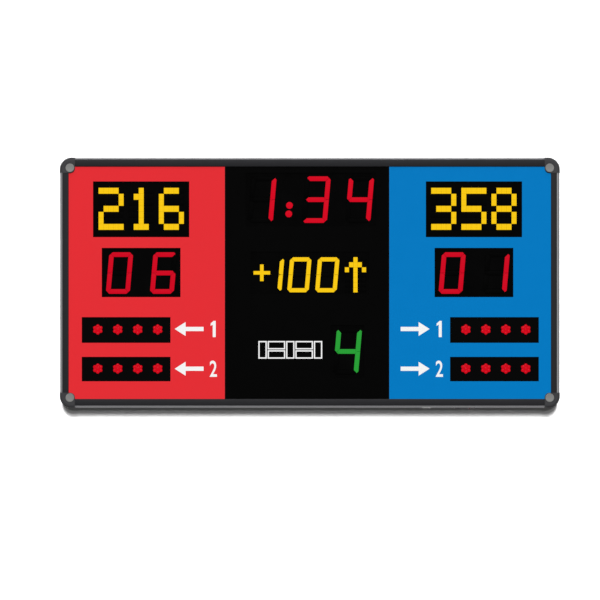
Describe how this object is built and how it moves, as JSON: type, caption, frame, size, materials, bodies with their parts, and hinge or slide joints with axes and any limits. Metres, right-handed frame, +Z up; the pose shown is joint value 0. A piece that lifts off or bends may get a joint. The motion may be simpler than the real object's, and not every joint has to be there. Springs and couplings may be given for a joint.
{
  "type": "electronic scoreboard",
  "caption": "Wide wall-hung electronic scoreboard for combat sports: framed red, black and blue panels with a clock, scores, weight class, name fields and penalty lamps.",
  "frame": {"origin": "middle of the upper mounting rail's wall face, which is where a wall or stand holds the board", "axes": "+X to the viewer's right along the board, +Y from the display face towards the wall, +Z up"},
  "size_m": [2.003, 0.0936, 1.0089],
  "materials": {
    "frame_aluminium": "satin anodised",
    "corner_plastic": "fine moulded grain",
    "plug_plastic": "satin",
    "red_panel": "satin printed",
    "black_panel": "satin printed",
    "blue_panel": "satin printed",
    "mask_black": "matt moulded",
    "red_lens": "diffusing",
    "yellow_lens": "diffusing",
    "green_lens": "diffusing",
    "circuit_board": "solder mask",
    "lamp_board": "black solder mask",
    "rear_sheet": "powder coated",
    "zinc_sheet": "zinc plated",
    "bright_steel": "nickel plated",
    "supply_case": "bare sheet",
    "ribbon_plastic": "satin",
    "cable_sheath": "matt",
    "inlet_plastic": "moulded",
    "rocker_plastic": "gloss"
  },
  "bodies": {
    "case": {"top_rail": "frame_aluminium", "bottom_rail": "frame_aluminium", "left_rail": "frame_aluminium", "right_rail": "frame_aluminium", "top_left_corner_cap": "corner_plastic", "top_right_corner_cap": "corner_plastic", "bottom_left_corner_cap": "corner_plastic", "bottom_right_corner_cap": "corner_plastic", "top_left_corner_plug": "plug_plastic", "top_right_corner_plug": "plug_plastic", "bottom_left_corner_plug": "plug_plastic", "bottom_right_corner_plug": "plug_plastic", "red_front_panel": "red_panel", "centre_front_panel": "black_panel", "blue_front_panel": "blue_panel", "red_name_mask": "mask_black", "red_name_lenses": "yellow_lens", "red_name_board": "circuit_board", "blue_name_mask": "mask_black", "blue_name_lenses": "yellow_lens", "blue_name_board": "circuit_board", "red_score_mask": "mask_black", "red_score_lenses": "red_lens", "red_score_board": "circuit_board", "blue_score_mask": "mask_black", "blue_score_lenses": "red_lens", "blue_score_board": "circuit_board", "red_penalty_mask": "mask_black", "red_penalty_lamp_board": "lamp_board", "blue_penalty_mask": "mask_black", "blue_penalty_lamp_board": "lamp_board", "clock_mask": "mask_black", "clock_lenses": "red_lens", "clock_board": "circuit_board", "weight_mask": "mask_black", "weight_lenses": "yellow_lens", "weight_board": "circuit_board", "mat_number_mask": "mask_black", "mat_number_lenses": "green_lens", "mat_number_board": "circuit_board", "left_mullion": "zinc_sheet", "right_mullion": "zinc_sheet", "rear_panel": "rear_sheet", "upper_mounting_rail": "zinc_sheet", "lower_mounting_rail": "zinc_sheet", "hinge_leaf": "bright_steel", "hinge_pin": "bright_steel", "electronics_tray": "zinc_sheet", "power_supply": "supply_case", "controller_board": "circuit_board", "ribbon_cable": "ribbon_plastic", "horn": "inlet_plastic", "mains_harness": "cable_sheath", "mains_inlet": "inlet_plastic", "data_socket": "bright_steel"},
    "door": {"service_door": "rear_sheet"},
    "upper_lock": {"upper_door_lock": "bright_steel"},
    "lower_lock": {"lower_door_lock": "bright_steel"},
    "rocker": {"power_rocker": "rocker_plastic"},
    "fuse_carrier": {"fuse_drawer": "inlet_plastic"}
  },
  "joints": [
    {"name": "door_hinge", "type": "hinge", "parent": "case", "child": "door", "pos_m": [-0.226, -0.0161, -0.38], "axis": [0, 0, 1], "range_deg": [0, 110]},
    {"name": "upper_lock_turn", "type": "hinge", "parent": "door", "child": "upper_lock", "pos_m": [0.19, -0.0187, -0.29], "axis": [0, 1, 0], "range_deg": [0, 90]},
    {"name": "lower_lock_turn", "type": "hinge", "parent": "door", "child": "lower_lock", "pos_m": [0.19, -0.0187, -0.47], "axis": [0, 1, 0], "range_deg": [0, 90]},
    {"name": "rocker_tilt", "type": "hinge", "parent": "case", "child": "rocker", "pos_m": [0.6475, -0.044, -0.8775], "axis": [0, 1, 0], "range_deg": [0, 20]},
    {"name": "fuse_drawer_slide", "type": "slide", "parent": "case", "child": "fuse_carrier", "axis": [0, 0, -1], "range_m": [0, 0.016]}
  ]
}
